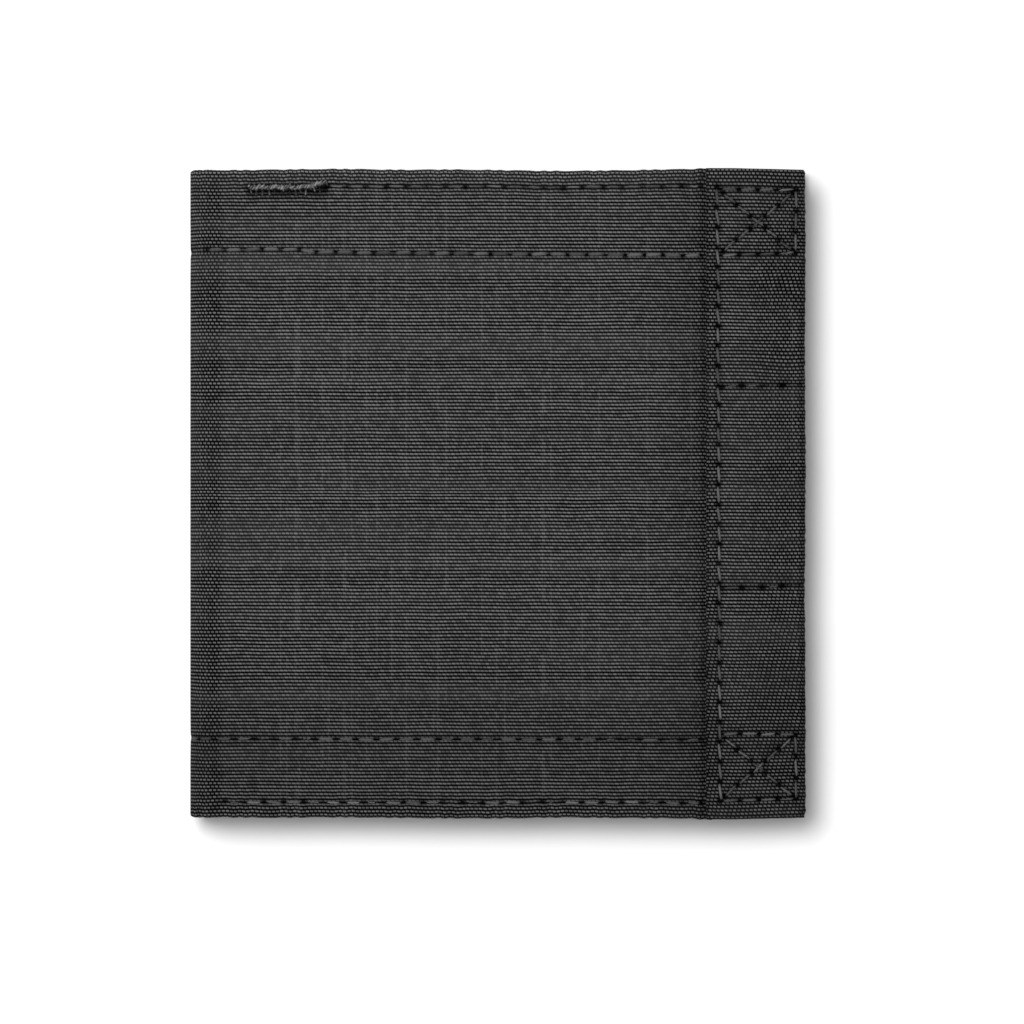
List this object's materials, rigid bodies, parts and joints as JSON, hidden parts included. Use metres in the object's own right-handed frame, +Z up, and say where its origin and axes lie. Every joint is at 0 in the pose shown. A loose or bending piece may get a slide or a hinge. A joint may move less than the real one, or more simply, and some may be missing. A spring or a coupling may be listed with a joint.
{
  "type": "bifold wallet",
  "caption": "Cloth bifold wallet with a bound, box-stitched free edge, slip pockets, card slots, a zipped coin pocket and a hook-and-loop closure.",
  "frame": {"origin": "centre of the closed wallet's footprint, on the surface it lies on", "axes": "+X from the spine towards the free edge, +Y towards the end of the covers with the bartack, +Z up through the closed wallet"},
  "size_m": [0.0944, 0.1, 0.0092],
  "materials": {
    "shell_cloth": "woven, matte",
    "band_cloth": "woven, matte",
    "lining_cloth": "fine woven, slight sheen",
    "pocket_cloth": "fine woven, slight sheen",
    "binding_tape": "grosgrain",
    "interlining": "matte",
    "thread": "twisted, slight sheen",
    "zipper_tape": "herringbone",
    "tooth_plastic": "moulded",
    "slider_metal": "semi-gloss",
    "puller_metal": "semi-gloss",
    "hook_plastic": "hooked",
    "loop_pile": "napped pile"
  },
  "bodies": {
    "back_cover": {"back_band_stitches": "thread", "back_bottom_hem_tape": "binding_tape", "back_box_stitches": "thread", "back_cover_shell": "shell_cloth", "back_edge_band": "band_cloth", "back_hem_stitches": "thread", "back_interlining": "interlining", "back_lining": "lining_cloth", "back_pocket_mouth_tape": "binding_tape", "back_slip_pocket": "pocket_cloth", "back_top_hem_tape": "binding_tape", "coin_pocket_gusset": "pocket_cloth", "coin_pocket_panel": "pocket_cloth", "coin_pocket_zip_strip": "pocket_cloth", "loop_tape": "loop_pile", "zipper_bottom_stop": "tooth_plastic", "zipper_tape_left": "zipper_tape", "zipper_tape_right": "zipper_tape", "zipper_teeth_left": "tooth_plastic", "zipper_teeth_right": "tooth_plastic", "zipper_top_stop": "tooth_plastic"},
    "spine": {"spine_bottom_hem_tape": "binding_tape", "spine_lining": "lining_cloth", "spine_shell": "shell_cloth", "spine_stitches": "thread", "spine_top_hem_tape": "binding_tape"},
    "front_cover": {"card_slot_1": "pocket_cloth", "card_slot_1_mouth_tape": "binding_tape", "card_slot_2": "pocket_cloth", "card_slot_2_mouth_tape": "binding_tape", "card_slot_3": "pocket_cloth", "card_slot_3_mouth_tape": "binding_tape", "front_band_stitches": "thread", "front_bartack": "thread", "front_bottom_hem_tape": "binding_tape", "front_box_stitches": "thread", "front_cover_shell": "shell_cloth", "front_edge_band": "band_cloth", "front_hem_stitches": "thread", "front_interlining": "interlining", "front_lining": "lining_cloth", "front_pocket_mouth_tape": "binding_tape", "front_slip_pocket": "pocket_cloth", "front_top_hem_tape": "binding_tape", "hook_tape": "hook_plastic"},
    "zipper_slider": {"zipper_slider": "slider_metal"},
    "zipper_puller": {"zipper_puller": "puller_metal"}
  },
  "joints": [
    {"name": "spine_fold", "type": "hinge", "parent": "back_cover", "child": "spine", "pos_m": [-0.04675, 0, 0.0005], "axis": [0, -1, 0], "range_deg": [0, 89.9]},
    {"name": "cover_fold", "type": "hinge", "parent": "spine", "child": "front_cover", "pos_m": [-0.04675, 0, 0.0083], "axis": [0, -1, 0], "range_deg": [0, 89.9]},
    {"name": "slider_travel", "type": "slide", "parent": "back_cover", "child": "zipper_slider", "axis": [0, 1, 0], "range_m": [-0.076, 0]},
    {"name": "puller_swing", "type": "hinge", "parent": "zipper_slider", "child": "zipper_puller", "pos_m": [-0.027, 0.038, 0.0045], "axis": [0, 0, 1], "range_deg": [-90, 90]}
  ],
  "couplings": [
    {"joint": "spine_fold", "follows": "cover_fold", "ratio": 1}
  ]
}
